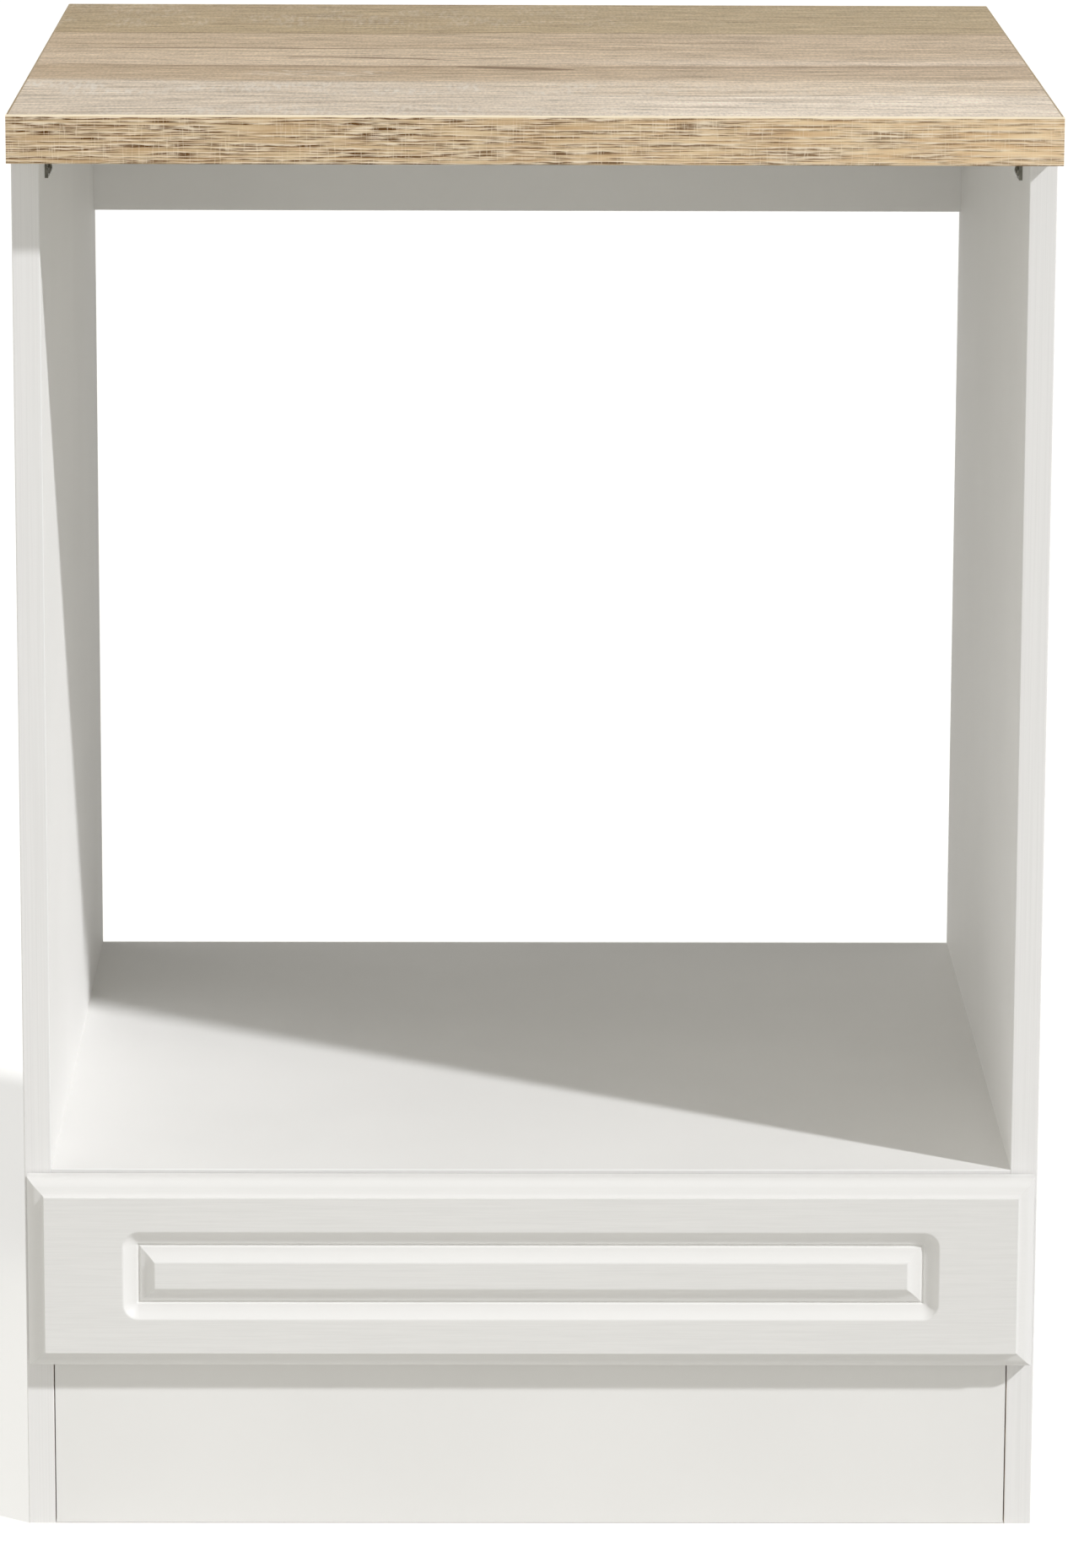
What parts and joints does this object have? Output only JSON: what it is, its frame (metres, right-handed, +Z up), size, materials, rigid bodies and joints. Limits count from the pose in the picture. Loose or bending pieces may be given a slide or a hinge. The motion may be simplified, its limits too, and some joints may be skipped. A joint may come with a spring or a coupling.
{
  "type": "oven base cabinet",
  "caption": "Kitchen base cabinet with an open niche for a built-in oven, a low drawer on roller runners with a raised-field front, a plinth and an oak-decor worktop",
  "frame": {"origin": "on the floor, under the middle of the worktop", "axes": "X to the right seen from the front, Y from the front to the back, Z up"},
  "size_m": [0.6, 0.6, 0.85],
  "materials": {
    "white_melamine": "smooth white melamine-faced chipboard",
    "white_edging": "thin white edging strip, slightly rounded arrises",
    "white_foil_mdf": "white foil with a fine grain, wrapped over routed fibreboard",
    "white_hardboard": "thin white-faced hardboard",
    "oak_laminate": "pale oak decor laminate, grain across the width",
    "oak_edging": "oak decor edging with a rough-sawn look",
    "zinc_steel": "zinc-plated steel",
    "die_cast_zinc": "die-cast zinc, matt",
    "white_steel": "white powder-coated steel",
    "nylon": "white nylon",
    "beech": "plain beech",
    "soft_plastic": "clear soft plastic pad"
  },
  "bodies": {
    "carcass": {"back_sheet_screws": "zinc_steel", "bottom_panel": "white_melamine", "bottom_panel_edging": "white_edging", "bracket_screws": "zinc_steel", "cabinet_runner_left": "white_steel", "cabinet_runner_right": "white_steel", "cabinet_runner_screws": "zinc_steel", "cam_bolts": "zinc_steel", "cam_locks": "die_cast_zinc", "front_roller_axles": "zinc_steel", "left_side_edging": "white_edging", "left_side_panel": "white_melamine", "lower_back_sheet": "white_hardboard", "oven_shelf": "white_melamine", "oven_shelf_edging": "white_edging", "plinth_board": "white_melamine", "plinth_bracket_left": "zinc_steel", "plinth_bracket_right": "zinc_steel", "rear_top_rail": "white_melamine", "rear_top_rail_edging": "white_edging", "right_side_edging": "white_edging", "right_side_panel": "white_melamine", "wooden_dowels": "beech", "worktop_board": "oak_laminate", "worktop_bracket_front_left": "zinc_steel", "worktop_bracket_front_right": "zinc_steel", "worktop_bracket_rear_left": "zinc_steel", "worktop_bracket_rear_right": "zinc_steel", "worktop_front_edging": "oak_edging", "worktop_left_edging": "oak_edging", "worktop_right_edging": "oak_edging"},
    "drawer": {"drawer_back": "white_melamine", "drawer_back_screws": "zinc_steel", "drawer_bottom": "white_hardboard", "drawer_bottom_screws": "zinc_steel", "drawer_cam_bolts": "zinc_steel", "drawer_cam_locks": "die_cast_zinc", "drawer_dowels": "beech", "drawer_front": "white_foil_mdf", "drawer_runner_left": "white_steel", "drawer_runner_right": "white_steel", "drawer_runner_screws": "zinc_steel", "drawer_side_left": "white_melamine", "drawer_side_right": "white_melamine", "rear_roller_axles": "zinc_steel", "front_bumpers": "soft_plastic"},
    "front_roller_left": {"front_roller_left": "nylon"},
    "front_roller_right": {"front_roller_right": "nylon"},
    "rear_roller_left": {"rear_roller_left": "nylon"},
    "rear_roller_right": {"rear_roller_right": "nylon"}
  },
  "joints": [
    {"name": "drawer_slide", "type": "slide", "parent": "carcass", "child": "drawer", "axis": [0, -1, 0], "range_m": [0, 0.37]},
    {"name": "front_roller_left_turn", "type": "hinge", "parent": "carcass", "child": "front_roller_left", "pos_m": [-0.2785, -0.244, 0.136], "axis": [1, 0, 0], "range_deg": [0, 2500]},
    {"name": "front_roller_right_turn", "type": "hinge", "parent": "carcass", "child": "front_roller_right", "pos_m": [0.2785, -0.244, 0.136], "axis": [1, 0, 0], "range_deg": [0, 2500]},
    {"name": "rear_roller_left_turn", "type": "hinge", "parent": "drawer", "child": "rear_roller_left", "pos_m": [-0.2785, 0.224, 0.136], "axis": [1, 0, 0], "range_deg": [0, 2500]},
    {"name": "rear_roller_right_turn", "type": "hinge", "parent": "drawer", "child": "rear_roller_right", "pos_m": [0.2785, 0.224, 0.136], "axis": [1, 0, 0], "range_deg": [0, 2500]}
  ],
  "couplings": [
    {"joint": "front_roller_left_turn", "follows": "drawer_slide", "rad_per_m": 117.65},
    {"joint": "front_roller_right_turn", "follows": "drawer_slide", "rad_per_m": 117.65},
    {"joint": "rear_roller_left_turn", "follows": "drawer_slide", "rad_per_m": 117.65},
    {"joint": "rear_roller_right_turn", "follows": "drawer_slide", "rad_per_m": 117.65}
  ]
}
